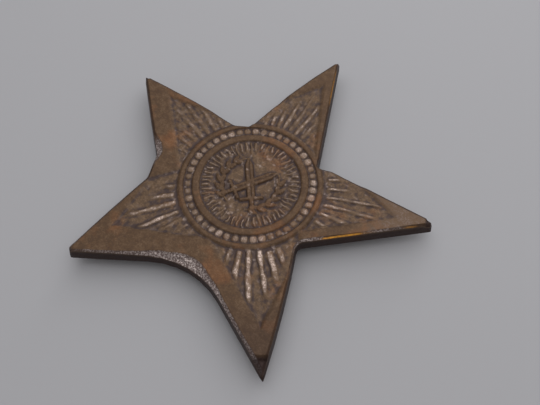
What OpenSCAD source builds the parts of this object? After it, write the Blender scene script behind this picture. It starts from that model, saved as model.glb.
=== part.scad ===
// Five-pointed star service medal, struck in bronze, with a brooch fastening on its back.
// Millimetres. +Z is the way the face looks and +Y runs towards the star's top point.
// The origin is on the brooch pin's centre line, behind the middle of the medallion.

/* [Star] */
// Average reach of the five points from the middle of the medallion
point_reach = 24; // [20:0.5:30]
// Average reach of the five notches between the points
notch_reach = 11; // [9:0.25:13.5]
// Thickness from the flat back to the raised face
star_thick = 1.8; // [1.4:0.1:3]
// How far the foot of the edge stands out beyond its top
edge_draft = 0.25; // [0.1:0.05:0.5]
// Depth of the sunk panels, the bead channel and the medallion's field
sink = 0.25; // [0.15:0.05:0.5]
// Reach of the sunk panels towards the points
panel_reach = 19.8; // [16:0.2:24]
// Reach of the corners between neighbouring panels
panel_root = 9.5; // [8:0.1:9.5]
// Turn of the struck design against the trimmed outline, in degrees
die_turn = -1; // [-4:0.5:4]

/* [Rays] */
// Number of rays on each point
ray_count = 7; // [3:2:9]
// Angle between neighbouring rays
ray_pitch = 6.5; // [4:0.5:8]
// Radius at which the rays start
ray_start = 10; // [9.6:0.1:11]
// Length of each middle ray
ray_length = 7.5; // [5:0.5:9]
// How much shorter each ray is than the one nearer the middle
ray_step = 1.6; // [0.5:0.1:2]
// Width of a ray at its foot
ray_w = 0.8; // [0.4:0.05:1]

/* [Medallion] */
// Outer radius of the channel that holds the beads
channel_outer = 9; // [8.6:0.1:9.4]
// Inner radius of the channel that holds the beads
channel_inner = 7.85; // [7.4:0.05:8.1]
// Number of beads
bead_count = 46; // [30:1:48]
// Radius of one bead
bead_r = 0.46; // [0.3:0.02:0.5]
// Height of the beads above the face, with their rounded tops left flat
bead_h = 0.12; // [0.05:0.01:0.2]
// Radius of the sunk field in the middle
field_r = 6.85; // [6:0.05:7]
// Number of short bars that radiate round the field
bar_count = 54; // [36:1:60]
// Radius at which the short bars start
bar_start = 4.9; // [4.6:0.1:5.4]
// Width of a short bar
bar_w = 0.26; // [0.15:0.01:0.35]

/* [Emblem] */
// Length of each crossed sword
sword_length = 7.6; // [5:0.2:8.4]
// Width of a sword's blade
blade_w = 0.6; // [0.4:0.05:0.9]
// Angle of each sword from upright
sword_lean = 36; // [25:1:50]
// Radius of the wreath's stem
wreath_r = 3.9; // [3:0.1:4.2]
// Number of leaf pairs on each branch of the wreath
leaf_pairs = 6; // [3:1:8]
// Height of the emblem above the field
emblem_h = 0.33; // [0.2:0.01:0.5]

/* [Brooch pin] */
// Distance from the hinge rivet to the middle of the catch
pin_span = 23; // [18:0.5:25]
// Radius of the pin's wire
pin_r = 0.4; // [0.3:0.02:0.45]
// Distance from the star's back to the pin's centre line
pin_drop = 1.05; // [1:0.05:2]
// Height of the pin above the middle of the medallion, towards the top point
pin_rise = 0.6; // [0:0.1:2]
// Length of the pin's point beyond the middle of the catch
pin_beyond = 2.4; // [2:0.1:3]
// How far the pin opens, in degrees
pin_open = 135; // [110:5:145]

/* [Hinge] */
// Thickness of the sheet that the bracket is bent from
sheet = 0.3; // [0.2:0.05:0.4]
// Width of the bracket's foot, across the pin
foot_w = 2.6; // [2.4:0.1:3.4]
// Radius of the bracket's ears round the rivet
ear_r = 0.84; // [0.75:0.01:0.86]
// Radius of the rivet
rivet_r = 0.3; // [0.2:0.02:0.36]
// Distance from the rivet back to the stop lip
lip_back = 1.05; // [0.95:0.05:1.4]

/* [Catch] */
// Length of the catch along the pin
catch_l = 2.4; // [2:0.1:3]
// Outer radius of the catch's two cheeks
cheek_r = 0.9; // [0.9:0.02:1]
// Thickness of the hub's wall, which the lock turns on
hub_wall = 0.18; // [0.14:0.01:0.2]
// Reach of the lock's thumb tab from the pin's centre line
tab_reach = 1.55; // [1.3:0.05:1.8]
// Length of the thumb tab along the pin
tab_l = 1; // [0.6:0.1:1.2]

/* [Fits] */
// Clearance of the straight wire in the catch's seat
seat_gap = 0.02; // [0:0.01:0.06]
// Radial clearance of the pin's eye on the rivet, and of the lock on its hub
turn_gap = 0.04; // [0.02:0.01:0.08]
// Clearance at each side of the pin's eye and of the lock
side_gap = 0.05; // [0.02:0.01:0.1]
// Width of the solder fillets round the feet
solder_w = 0.45; // [0.2:0.05:0.6]
// Height of the solder fillets
solder_h = 0.2; // [0.1:0.02:0.28]

/* [Hidden] */
$fn = 48;

// Hand trimming of each point: turn in degrees, extra reach and width of its blunt end
tip_trim = [[0, -0.1, 0], [0.3, -0.1, 0], [0.3, 0.9, 0.8], [0.4, 1.2, 0], [-1.3, -0.1, 0.7]];
// Hand trimming of each notch: turn, extra reach, width of its floor, tilt of the floor, corner radius
notch_trim = [[3.2, -1.6, 1.9, -14, 0.5], [1.2, 2.7, 3.8, -2, 2], [-0.2, 1.8, 0, 0, 11.5],
    [-6, -0.3, 0, 0, 1.2], [-10.2, -0.8, 2, 64, 0.3]];
// How far each side of each point bows outwards, before and after its notch
side_bow = [[0.35, 0.2], [0.05, 0.1], [0, 0], [0.25, 0], [0, 0]];
// Corner radius of a point's end
tip_round = 0.12;
// Straight pieces in a rounded corner and in a bowed side
corner_steps = 6;
bow_steps = 4;
// The first point's bearing and the angle from one point to the next
top_bearing = 90;
point_step = 72;

face_z = pin_drop + star_thick;
floor_z = face_z - sink;
star_at = [0, -pin_rise];
hinge_x = -pin_span / 2;
catch_x = pin_span / 2;
foot_z = pin_drop - sheet;

eye_w = 2 * pin_r;
ear_in = eye_w / 2 + side_gap;
eye_r = ear_r - 0.06;
lip_drop = (sin(pin_open) * lip_back - (pin_r + side_gap)) / -cos(pin_open);
head_r = rivet_r + 0.2;
head_h = 0.22;

cheek_w = 0.35;
seat_r = pin_r + seat_gap;
hub_r = seat_r + hub_wall;
lock_in = hub_r + turn_gap;
lock_out = cheek_r - side_gap;
lock_l = catch_l - 2 * cheek_w - 2 * side_gap;
tab_t = 0.3;
// The tab's bearing round the pin with the lock open, from +Y towards +Z
tab_bearing = -155;
// The straight wire ends here, short of the catch
taper_x = catch_x - catch_l / 2 - 1;
tip_x = catch_x + pin_beyond;
// The long taper's radius at its end, and the length and end radius of the sharp point
taper_r = 0.6 * pin_r;
sharp_l = 0.9;
sharp_r = 0.03;

function polar(r, a) = [r * cos(a), r * sin(a)];
function unit(v) = v / norm(v);
function left_of(v) = [-v.y, v.x];

// The corners of a blunt end or a notch's floor of width w, centred on reach r and bearing a
function ends(r, a, w, tilt, rad) = w == 0 ? [[polar(r, a), rad]]
    : [for (s = [-0.5, 0.5]) [polar(r, a) + polar(s * w, a + 90 + tilt), rad]];

// Points between p and q, which bow to the right of the way from p to q
function bowed(p, q, bow) = [for (i = [1:bow_steps - 1]) let (u = i / bow_steps)
    [p + u * (q - p) - 4 * bow * u * (1 - u) * left_of(unit(q - p)), 0]];

function point_at(i) = let (t = tip_trim[i % 5])
    ends(point_reach + t[1], top_bearing + point_step * i + t[0], t[2], 0, tip_round);
function notch_at(i) = let (t = notch_trim[i])
    ends(notch_reach + t[1], top_bearing + point_step * (i + 0.5) + t[0], t[2], t[3], t[4]);

// The whole outline as [corner, radius] pairs, anticlockwise from the top point
function outline_corners() = [for (i = [0:4]) let (a = point_at(i), n = notch_at(i), b = point_at(i + 1))
    each concat(a, bowed(a[len(a) - 1][0], n[0][0], side_bow[i][0]), n,
        bowed(n[len(n) - 1][0], b[0][0], side_bow[i][1]))];

// The arc that rounds the corner b between a and c, limited to half of its shorter side
function rounded(a, b, c, rad) =
    let (u = unit(a - b), v = unit(c - b), half = acos(max(-1, min(1, u * v))) / 2,
        reach = min(rad / tan(half), 0.48 * min(norm(a - b), norm(c - b))),
        r = reach * tan(half), mid = b + unit(u + v) * r / sin(half),
        p = b + u * reach - mid, q = b + v * reach - mid,
        from = atan2(p.y, p.x), turn = (atan2(q.y, q.x) - from + 540) % 360 - 180)
    [for (i = [0:corner_steps]) mid + polar(r, from + turn * i / corner_steps)];

// A bowed side's points stay as they are, and a wide corner reaches past them to the corner beyond
function far_corner(c, i, step) = let (k = (i + step + len(c)) % len(c))
    c[k][1] > 0 ? c[k][0] : far_corner(c, k, step);
function keep_side_point(c, i) =
    let (a = near_corner(c, i, -1), b = near_corner(c, i, 1))
    norm(c[i][0] - c[a][0]) > cut_back(c, a) && norm(c[i][0] - c[b][0]) > cut_back(c, b);
function near_corner(c, i, step) = let (k = (i + step + len(c)) % len(c))
    c[k][1] > 0 ? k : near_corner(c, k, step);
function cut_back(c, i) = let (a = far_corner(c, i, -1), d = far_corner(c, i, 1), b = c[i][0],
        half = acos(unit(a - b) * unit(d - b)) / 2)
    min(c[i][1] / tan(half), 0.48 * min(norm(a - b), norm(d - b)));

function outline() = let (c = outline_corners())
    [for (i = [0:len(c) - 1]) each c[i][1] > 0
        ? rounded(far_corner(c, i, -1), c[i][0], far_corner(c, i, 1), c[i][1])
        : keep_side_point(c, i) ? [c[i][0]] : []];

// The outline moved outwards by d, with mitred corners
function grown(p, d) = [for (i = [0:len(p) - 1])
    let (n = len(p), e = unit(p[i] - p[(i + n - 1) % n]), f = unit(p[(i + 1) % n] - p[i]),
        m = -left_of(e), k = -left_of(f))
    p[i] + d * (m + k) / (1 + m * k)];

// The five-pointed outline of the sunk panels
function panel_points() = [for (i = [0:9])
    polar(i % 2 == 0 ? panel_reach : panel_root, top_bearing + die_turn + point_step / 2 * i)];

// The trimmed blank: its back is wider than its face by the draft of the edge.
// Both flats are fans of triangles about the middle, which sees the whole outline.
module blank() {
    top = outline();
    n = len(top);
    base = grown(top, edge_draft);
    points = [for (p = base) [p.x, p.y, pin_drop], for (p = top) [p.x, p.y, face_z],
        [0, 0, pin_drop], [0, 0, face_z]];
    faces = [for (i = [0:n - 1]) let (j = (i + 1) % n)
        each [[2 * n, i, j], [2 * n + 1, n + j, n + i], [j, i, n + i], [j, n + i, n + j]]];
    polyhedron(points, faces);
}

module ring(outer, inner, z, h) {
    translate([0, 0, z]) difference() {
        cylinder(r = outer, h = h);
        translate([0, 0, -1]) cylinder(r = inner, h = h + 2);
    }
}

// What the die leaves sunk: five panels, the bead channel and the field
module sunk() {
    difference() {
        translate([0, 0, floor_z]) linear_extrude(sink + 1) polygon(panel_points());
        translate([0, 0, floor_z - 1]) cylinder(r = channel_outer + 0.6, h = sink + 3);
    }
    ring(channel_outer, channel_inner, floor_z, sink + 1);
    translate([0, 0, floor_z]) cylinder(r = field_r, h = sink + 1);
}

// One ray: a ridge that is sharp along its crest
module ray(length) {
    translate([ray_start, 0, floor_z - 0.05]) rotate([90, 0, 90]) linear_extrude(length)
        polygon([[-ray_w / 2, 0], [ray_w / 2, 0], [0, sink + 0.1]]);
}

module rays() {
    middle = (ray_count - 1) / 2;
    for (i = [0:4], k = [-middle:middle])
        rotate(top_bearing + die_turn + point_step * i + k * ray_pitch)
            ray(ray_length - ray_step * abs(k));
}

module beads() {
    mid_r = (channel_outer + channel_inner) / 2;
    for (i = [0:bead_count - 1]) rotate(360 / bead_count * i)
        translate([mid_r, 0, floor_z - 0.05]) cylinder(r1 = bead_r, r2 = 0.6 * bead_r, h = sink + bead_h);
}

module bars() {
    for (i = [0:bar_count - 1]) rotate(360 / bar_count * i)
        translate([bar_start, -bar_w / 2, floor_z - 0.1]) cube([field_r - 0.2 - bar_start, bar_w, 0.24]);
}

// A sword along +Y, with its grip at the lower end
module sword() {
    guard = -0.28 * sword_length;
    polygon([[-blade_w / 2, guard], [blade_w / 2, guard], [blade_w / 2, sword_length / 2 - blade_w],
        [0, sword_length / 2], [-blade_w / 2, sword_length / 2 - blade_w]]);
    translate([-blade_w * 1.3, guard - 0.2]) square([blade_w * 2.6, 0.4]);
    translate([-blade_w * 0.35, -sword_length / 2 + 0.2]) square([blade_w * 0.7, 0.22 * sword_length]);
    translate([0, -sword_length / 2 + 0.3]) circle(r = blade_w / 2);
}

// One branch of the wreath, as pairs of pointed leaves that lean out from the stem
module branch() {
    for (i = [0:leaf_pairs - 1], side = [-1, 1])
        rotate(-62 + i * 102 / leaf_pairs) translate([wreath_r, 0]) rotate(90 - side * 28)
            polygon([[-0.25, 0], [0.5, 0.26], [1.1, 0], [0.5, -0.26]]);
}

module emblem() {
    translate([0, 0, floor_z - 0.1]) {
        linear_extrude(emblem_h) for (s = [-1, 1]) rotate(s * sword_lean) sword();
        linear_extrude(emblem_h - 0.04) {
            branch();
            mirror([1, 0]) branch();
        }
    }
}

// The struck star, one piece of bronze
module star_body() {
    color("#6e5940") translate([star_at.x, star_at.y, 0]) {
        difference() {
            blank();
            sunk();
        }
        intersection() {
            union() {
                rays();
                beads();
            }
            translate([0, 0, floor_z - 1]) linear_extrude(sink + 3) polygon(grown(outline(), -0.05));
        }
        bars();
        emblem();
    }
}

// A disc across the pin, centred at x and y with width w, about the rivet's line
module across(x, y, r, w) {
    translate([x, y + w / 2, 0]) rotate([90, 0, 0]) cylinder(r = r, h = w);
}

// Foot, two ears and a stop lip, bent from one sheet. The foot is hollowed under the pin's eye.
module hinge_bracket() {
    lip_x = hinge_x - lip_back - sheet;
    color("#8a7442") difference() {
        union() {
            translate([lip_x, -foot_w / 2, foot_z]) cube([hinge_x + ear_r - lip_x, foot_w, sheet]);
            translate([lip_x, -ear_in - sheet, -lip_drop])
                cube([sheet, 2 * (ear_in + sheet), lip_drop + foot_z + sheet / 2]);
            for (s = [-1, 1]) {
                across(hinge_x, s * (ear_in + sheet / 2), ear_r, sheet);
                translate([hinge_x - ear_r, s * (ear_in + sheet / 2) - sheet / 2, 0])
                    cube([2 * ear_r, sheet, foot_z + sheet / 2]);
            }
        }
        across(hinge_x, 0, rivet_r + 0.01, foot_w);
        across(hinge_x, 0, eye_r + side_gap, 2 * ear_in);
    }
}

// Plain rivet with a head closed over each ear
module hinge_rivet() {
    out = ear_in + sheet;
    color("#b39a5c") {
        across(hinge_x, 0, rivet_r, 2 * out + head_h);
        for (s = [-1, 1]) across(hinge_x, s * (out + head_h / 2), head_r, head_h);
    }
}

// A cone or cylinder on the pin's centre line, from one x to another
module on_pin(from, to, r1, r2) {
    translate([from, 0, 0]) rotate([0, 90, 0]) cylinder(r1 = r1, r2 = r2, h = to - from);
}

// Wire pin: an eye round the rivet, a straight stretch, a taper and a sharp point
module brooch_pin() {
    color("#a9a294") difference() {
        union() {
            across(hinge_x, 0, eye_r, eye_w);
            on_pin(hinge_x, taper_x, pin_r, pin_r);
            on_pin(taper_x, tip_x - sharp_l, pin_r, taper_r);
            on_pin(tip_x - sharp_l, tip_x, taper_r, sharp_r);
        }
        across(hinge_x, 0, rivet_r + turn_gap, 3 * eye_w);
    }
}

// The mouth that lets the pin in from below, cut through a length of the catch
module mouth(length) {
    on_pin(catch_x - length / 2, catch_x + length / 2, seat_r, seat_r);
    translate([catch_x - length / 2, -seat_r, -2 * cheek_r]) cube([length, 2 * seat_r, 2 * cheek_r]);
}

// Foot, two cheeks and the hub between them, all open to the same mouth.
// The foot is hollowed between the cheeks, where the lock turns past it.
module catch_body() {
    foot_l = catch_l + 0.3;
    room = lock_l + 2 * side_gap;
    color("#8a7442") difference() {
        union() {
            difference() {
                translate([catch_x - foot_l / 2, -foot_w / 2, foot_z]) cube([foot_l, foot_w, sheet]);
                on_pin(catch_x - room / 2, catch_x + room / 2, lock_out + side_gap, lock_out + side_gap);
            }
            for (s = [-1, 1]) {
                x = catch_x + s * (catch_l - cheek_w) / 2;
                on_pin(x - cheek_w / 2, x + cheek_w / 2, cheek_r, cheek_r);
                translate([x - cheek_w / 2, -cheek_r * 0.8, 0])
                    cube([cheek_w, cheek_r * 1.6, foot_z + sheet / 2]);
            }
            on_pin(catch_x - catch_l / 2 + 0.1, catch_x + catch_l / 2 - 0.1, hub_r, hub_r);
        }
        mouth(catch_l + 1);
    }
}

// Ring that rolls round the hub to close the mouth, with a thumb tab
module catch_lock() {
    color("#a08a55") difference() {
        union() {
            on_pin(catch_x - lock_l / 2, catch_x + lock_l / 2, lock_out, lock_out);
            rotate([tab_bearing, 0, 0]) translate([catch_x - tab_l / 2, 0, -tab_t / 2])
                cube([tab_l, tab_reach, tab_t]);
        }
        on_pin(catch_x - lock_l, catch_x + lock_l, lock_in, lock_in);
        translate([catch_x - lock_l, -seat_r, -2 * cheek_r]) cube([2 * lock_l, 2 * seat_r, 2 * cheek_r]);
    }
}

// A low fillet of solder on three sides of a foot, from x to x + l, open on the side away from open
module fillet_of_solder(x, l, open) {
    w = foot_w + 2 * solder_w;
    shift = open > 0 ? 0 : solder_w;
    translate([x - solder_w + shift, -w / 2, pin_drop - solder_h]) difference() {
        cube([l + solder_w, w, solder_h]);
        translate([open > 0 ? solder_w : -1, solder_w, -1]) cube([l + 1, foot_w, solder_h + 2]);
    }
}

module hinge_solder() {
    color("#8f9094") fillet_of_solder(hinge_x - lip_back - sheet, lip_back + sheet + ear_r, 1);
}

module catch_solder() {
    color("#8f9094") fillet_of_solder(catch_x - catch_l / 2 - 0.15, catch_l + 0.3, -1);
}

star_body();
hinge_bracket();
hinge_rivet();
brooch_pin();
catch_body();
catch_lock();
hinge_solder();
catch_solder();
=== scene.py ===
"""A hand-trimmed bronze star medal with a brooch fastening behind it, finished round its fixed frame."""

import math
from functools import partial
from types import SimpleNamespace

import bmesh
import bpy
import numpy as np
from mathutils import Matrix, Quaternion, Vector


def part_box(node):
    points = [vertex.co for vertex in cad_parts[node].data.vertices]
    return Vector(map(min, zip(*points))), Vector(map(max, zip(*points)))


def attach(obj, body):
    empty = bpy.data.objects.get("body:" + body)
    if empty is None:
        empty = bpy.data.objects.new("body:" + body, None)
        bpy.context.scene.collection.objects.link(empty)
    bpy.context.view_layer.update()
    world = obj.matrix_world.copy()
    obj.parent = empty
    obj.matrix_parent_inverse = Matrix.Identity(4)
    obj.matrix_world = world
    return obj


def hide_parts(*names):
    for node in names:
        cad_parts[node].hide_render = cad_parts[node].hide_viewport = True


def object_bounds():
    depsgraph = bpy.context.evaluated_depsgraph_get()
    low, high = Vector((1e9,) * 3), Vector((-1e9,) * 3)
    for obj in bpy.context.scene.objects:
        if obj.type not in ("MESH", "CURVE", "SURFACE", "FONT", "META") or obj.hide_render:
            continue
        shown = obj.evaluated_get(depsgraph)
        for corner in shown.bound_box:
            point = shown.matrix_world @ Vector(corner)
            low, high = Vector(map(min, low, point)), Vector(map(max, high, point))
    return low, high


bl_info = {
    "name": "Star Service Medal",
    "version": (1, 0, 0),
    "blender": (4, 5, 0),
    "location": "3D View > Sidebar > Star Medal",
    "description": "Strikes a worn bronze star medal and finishes the brooch fittings behind it",
    "category": "Add Mesh",
}

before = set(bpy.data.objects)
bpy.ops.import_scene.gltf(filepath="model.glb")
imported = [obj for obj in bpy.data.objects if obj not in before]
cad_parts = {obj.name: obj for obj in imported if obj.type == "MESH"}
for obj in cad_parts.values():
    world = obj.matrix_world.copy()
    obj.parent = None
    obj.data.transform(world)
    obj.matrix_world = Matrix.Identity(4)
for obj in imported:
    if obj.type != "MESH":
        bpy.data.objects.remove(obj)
cad_low, cad_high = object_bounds()
MM = 0.001

# The star is drawn in millimetres about the middle of its medallion, with its top point along +Y.
# Its flat back lies as low as the back of the solid that it replaces.
BACK_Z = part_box("star_body")[0].z / MM
ARMS = 5
TOP_BEARING = 90
ARM_STEP = 360 / ARMS

# Hand trimming of each point: turn in degrees, extra reach and width of its blunt end
POINT_TRIM = ((0.2, 0.35, 0), (0, 0.3, 0), (0.3, 1, 0.5), (-0.3, 2, 0), (-0.9, 0.35, 0.6))
# Hand trimming of each notch: turn, extra reach, width of its floor, tilt of the floor, corner radius
NOTCH_TRIM = ((3.2, -1.6, 1.9, -14, 0.5), (1.2, 2.7, 3.8, -2, 2), (-0.2, 1.8, 0, 0, 11.5),
              (-6, -0.3, 0, 0, 1.2), (-10.2, -0.8, 2, 64, 0.3))
# How far each side of each point bows outwards, before and after its notch
SIDE_BOW = ((0.35, 0.2), (0.05, 0.1), (0, 0), (0.25, 0), (0, 0))

# Places along the rim are counted in sides: 0 is the top point, 1 the notch after it, 2 the next point.
# Bevel of the rim: place, width across the face, depth at the rim
RIM_BEVEL = ((0, 0.26, 0.2), (1, 0.18, 0.12), (1.9, 0.28, 0.22), (2.72, 0.3, 0.2), (2.86, 0.9, 0.5),
             (2.95, 0.8, 0.5), (3.05, 0.3, 0.2), (3.9, 0.3, 0.25), (4.02, 0.24, 0.2), (4.4, 0.3, 0.24),
             (4.6, 0.5, 0.38), (4.8, 0.95, 0.55), (4.93, 1.4, 0.65), (5.06, 1.3, 0.62), (5.2, 0.7, 0.45),
             (5.4, 0.42, 0.32), (5.7, 0.36, 0.28), (5.95, 0.5, 0.35), (6.1, 0.25, 0.2), (6.95, 0.25, 0.18),
             (7.1, 0.38, 0.26), (7.4, 0.24, 0.2), (8, 0.32, 0.26), (8.5, 0.34, 0.24), (9, 0.16, 0.12),
             (9.5, 0.24, 0.18), (10, 0.26, 0.2))
# Where the bevel is coarse, bare metal: place, share
RAW_BEVEL = ((2.75, 0), (2.85, 0.9), (2.97, 0.9), (3.1, 0), (4, 0.25), (4.15, 0.6), (4.6, 0.9), (5, 1),
             (5.5, 1), (5.95, 0.9), (6.05, 0), (6.9, 0), (7, 0.8), (7.16, 0.8), (7.22, 0), (7.45, 0),
             (7.52, 0.7), (7.75, 0.5), (7.85, 0))
# Where the arris is painted yellow, as metal rubbed bare and as a painted highlight: place, share
BARE_ARRIS_HIGHLIGHT = ((7.15, 0), (7.2, 1), (7.42, 1), (7.5, 0.2), (7.6, 0), (7.78, 0), (7.83, 0.6), (7.9, 0),
                (9.55, 0), (9.62, 0.35), (9.85, 0.35), (9.93, 0))
# How each point is worn: length of its worn end, its depth, how rubbed the flat behind it is, and how far
# painted shade darkens that flat
WORN_POINT = ((0.7, 0.35, 0, 0), (0.9, 0.35, 0, 0), (0.3, 0.2, 0, 0), (2.3, 0.85, 0, 0.4),
              (0.8, 0.45, 0.2, 0))
# How far from its end the flat of a point is rubbed or darkened by painted shade: where it starts to fade
# and where it is gone
TIP_FADE = (4, 11)
# Beyond this distance from its end, no point is worn down
TIP_LIMIT = 3
# Each sunk panel, which reaches the rim on its shaved side: turn and reach of its corner before the point,
# of its apex and of its corner after the point
PANELS = ((-35.5, 9.5, -0.6, 19.5, 35.5, 11.8), (-35.5, 9.6, -1.3, 19.1, 35.5, 10),
          (-27, 13.8, -3.1, 19.3, 35.5, 9.9), (-35.5, 9.9, 0, 20.5, 31, 11.8),
          (-35.5, 9.8, -2.2, 20, 32, 12.2))
# The rays on each arm: bearing from the arm's middle, start, end, width and height; the height also sets how
# far a ray's crest is painted rubbed pink-white, partly worn metal and partly painted highlight, most on the
# arms at 234 and 306 degrees, which catch the light
RAYS = (
    ((-17, 9.9, 11.2, 0.8, 0.6), (-11, 10, 14.2, 0.9, 0.6), (-5, 9.9, 16.6, 0.8, 0.65),
     (0.5, 10, 17.4, 0.8, 0.6), (5.5, 9.8, 15.4, 0.8, 0.7), (10.5, 9.8, 13.6, 0.8, 0.7),
     (16, 9.8, 12.2, 0.8, 0.85), (21.5, 9.8, 11, 0.7, 0.8)),
    ((-16, 10, 12.5, 0.8, 0.6), (-10, 10, 15.5, 0.8, 0.65), (-4, 10, 17.2, 0.9, 0.6),
     (2, 10, 17.2, 0.9, 0.6), (8, 10.2, 15, 0.8, 0.6), (14, 10.2, 13.4, 0.8, 0.65),
     (20, 10.2, 12, 0.8, 0.6)),
    ((-19, 10.2, 12.5, 0.9, 0.6), (-12, 10.3, 14, 0.9, 0.9), (-5.2, 10.2, 17.2, 0.9, 0.95),
     (2.9, 10.3, 16.6, 0.9, 0.9), (9.5, 10.2, 14.6, 0.8, 0.6), (16, 10.2, 12.6, 0.8, 0.5)),
    ((-17.5, 10, 12.6, 0.8, 0.7), (-10.2, 10, 15, 1.1, 1), (-3.2, 9.9, 17.4, 1.1, 1.15),
     (4.4, 10, 16.6, 1, 1), (11, 10.3, 15.2, 1.1, 1), (17.5, 10.2, 13.4, 0.9, 0.9)),
    ((-27, 10.2, 12, 0.8, 0.7), (-19.5, 10.2, 13.4, 0.8, 0.8), (-12, 10.2, 16.2, 0.8, 0.75),
     (-4.2, 10.2, 18.2, 0.7, 0.7), (2.4, 10.4, 18.4, 0.7, 0.7), (9.8, 10.3, 14, 0.8, 0.8),
     (17, 10.4, 12.6, 0.7, 0.8)),
)


def length(name, description, millimetres):
    """A length that a user can change, held in metres."""
    return bpy.props.FloatProperty(name=name, description=description, default=millimetres * MM,
                                   subtype="DISTANCE", precision=5)


def angle(name, description, degrees):
    """An angle that a user can change, held in radians."""
    return bpy.props.FloatProperty(name=name, description=description, default=math.radians(degrees),
                                   subtype="ANGLE")


def linear(hex_colour):
    """The linear red, green, blue and alpha of an sRGB hex colour."""
    parts = [int(hex_colour[i:i + 2], 16) / 255 for i in (1, 3, 5)]
    return (*(c / 12.92 if c <= 0.04045 else ((c + 0.055) / 1.055) ** 2.4 for c in parts), 1)


def colour(name, description, hex_colour):
    """A colour that a user can change."""
    return bpy.props.FloatVectorProperty(name=name, description=description, size=4, subtype="COLOR",
                                         default=linear(hex_colour), min=0, max=1)


class MEDAL_PG_star(bpy.types.PropertyGroup):
    """Sizes of the struck star."""
    point_reach: length("Point reach", "Average reach of the points from the middle", 24)
    notch_reach: length("Notch reach", "Average reach of the notches between the points", 11)
    thickness: length("Thickness", "From the flat back to the raised face", 1.8)
    draft: length("Draft", "How far the foot of the edge stands out beyond its top", 0.25)
    rise: length("Pin rise", "Height of the pin above the middle of the medallion", 0.6)
    sink: length("Sink", "Depth of the panels, the bead channel and the field", 0.25)
    die_turn: angle("Die turn", "Turn of the struck design against the outline", -1)
    ray_height: length("Ray height", "Height of the rays above the sunk panels", 0.22)
    grain: length("Cast grain", "Height of the lumps that casting left in the metal", 0.03)


class MEDAL_PG_medallion(bpy.types.PropertyGroup):
    """Sizes of the medallion in the star's middle."""
    channel_outer: length("Channel outer radius", "Outer radius of the bead channel", 9)
    channel_inner: length("Channel inner radius", "Inner radius of the bead channel", 7.85)
    field: length("Field radius", "Radius of the sunk field", 6.85)
    bead_count: bpy.props.IntProperty(name="Beads", description="Number of beads", default=46, min=8)
    bead_radius: length("Bead radius", "Radius of one bead", 0.54)
    bead_height: length("Bead height", "Height of a bead above the channel's floor", 0.22)
    bar_count: bpy.props.IntProperty(name="Bars", description="Number of short bars", default=54, min=8)
    bar_start: length("Bar start", "Radius at which the short bars start", 4.5)
    bar_end: length("Bar end", "Radius at which the short bars end", 6.8)
    bar_width: length("Bar width", "Width of a short bar", 0.52)
    bar_height: length("Bar height", "Height of a short bar above the field", 0.2)
    wreath: length("Wreath radius", "Radius of the wreath's stem", 4)
    leaf_pairs: bpy.props.IntProperty(name="Leaf pairs", description="Pairs on each branch", default=6)
    sword: length("Sword length", "Length of each crossed sword", 8.4)
    blade: length("Blade width", "Width of a sword's blade", 1.3)
    lean: angle("Sword lean", "Angle of each sword from upright", 36)
    emblem: length("Emblem height", "Height of the emblem above the field", 0.31)


class MEDAL_PG_finish(bpy.types.PropertyGroup):
    """Colours of the metals and of the stage."""
    patina: colour("Patina", "Brown skin of the old bronze", "#6a533d")
    hollow: colour("Hollow", "Dark dirt and tarnish in the hollows", "#463838")
    handled: colour("Handled", "Smooth raised bronze, browned by hands", "#604730")
    rust_red: colour("Red patch", "Copper-red bloom in the patina", "#8a5a35")
    dust: colour("Dust", "Pale dust in the grain of the patina", "#a88a72")
    # Partly painted highlight: this pink-white of rubbed crests, beads, bars and specks stands for worn
    # metal and for the glints that light makes on them
    rubbed: colour("Rubbed", "Pink-white of crests that are rubbed bare", "#e2cbbf")
    # Partly painted highlight: the yellow of metal rubbed bare at the arris, drawn in its diffuse colour as
    # the glints that light makes there
    bare: colour("Bare brass", "Yellow metal of a fresh arris", "#e8a23a")
    raw: colour("Raw bevel", "Dark coarse metal of the filed bevel", "#6f5f5b")
    # Painted highlight: pale specks in the filed bevel that stand for the glints of light on its grain
    painted_glint: colour("Glint", "Bright grains in the filed bevel", "#dccdc8")
    # Tarnish and painted shade: the wall, deepest at its foot, the arris and the end of the arm at 306
    # degrees get painted shade in this colour, and the worn ends are painted dark in it
    edge: colour("Edge", "Red-black tarnish of the rim's wall", "#2c1a1a")
    brass: colour("Fitting brass", "Tarnished sheet brass", "#8f7440")
    brass_dark: colour("Brass tarnish", "Brown tarnish in the brass's corners", "#4c3c28")
    steel: colour("Pin steel", "Drawn steel wire", "#9a9690")
    steel_stain: colour("Steel stain", "Brown stain on the wire", "#6a5644")
    solder: colour("Solder", "Dull soft solder", "#84868a")
    solder_dark: colour("Solder tarnish", "Grey-brown tarnish on the solder", "#55504c")
    cloth: colour("Floor", "Plain pale floor", "#bdbdc1")
    room: colour("Room", "Colour of the light from all round", "#eceaea")


class MEDAL_PG_stage(bpy.types.PropertyGroup):
    """The camera and the lights."""
    azimuth: angle("Camera azimuth", "Bearing of the camera from the medal, from +X", -56.14)
    elevation: angle("Camera elevation", "Height of the camera over the floor", 60.83)
    roll: angle("Camera roll", "Turn of the camera about its own line of sight", -2.25)
    distance: length("Camera distance", "From the camera to the point that it looks at", 94.35)
    lens: bpy.props.FloatProperty(name="Lens", description="Focal length in millimetres", default=47.77)
    key_power: bpy.props.FloatProperty(name="Key light", description="Power of the large soft light",
                                       subtype="POWER", default=0.85)
    fill: bpy.props.FloatProperty(name="Fill", description="Strength of the light from all round",
                                  default=0.34)


def in_mm(group):
    """A group's values, with its lengths in millimetres."""
    values = {}
    for prop in group.bl_rna.properties:
        if prop.identifier not in {"rna_type", "name"}:
            value = getattr(group, prop.identifier)
            values[prop.identifier] = value / MM if prop.subtype == "DISTANCE" else value
    return SimpleNamespace(**values)


# ---- Outline of the hand-trimmed star ----

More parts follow.
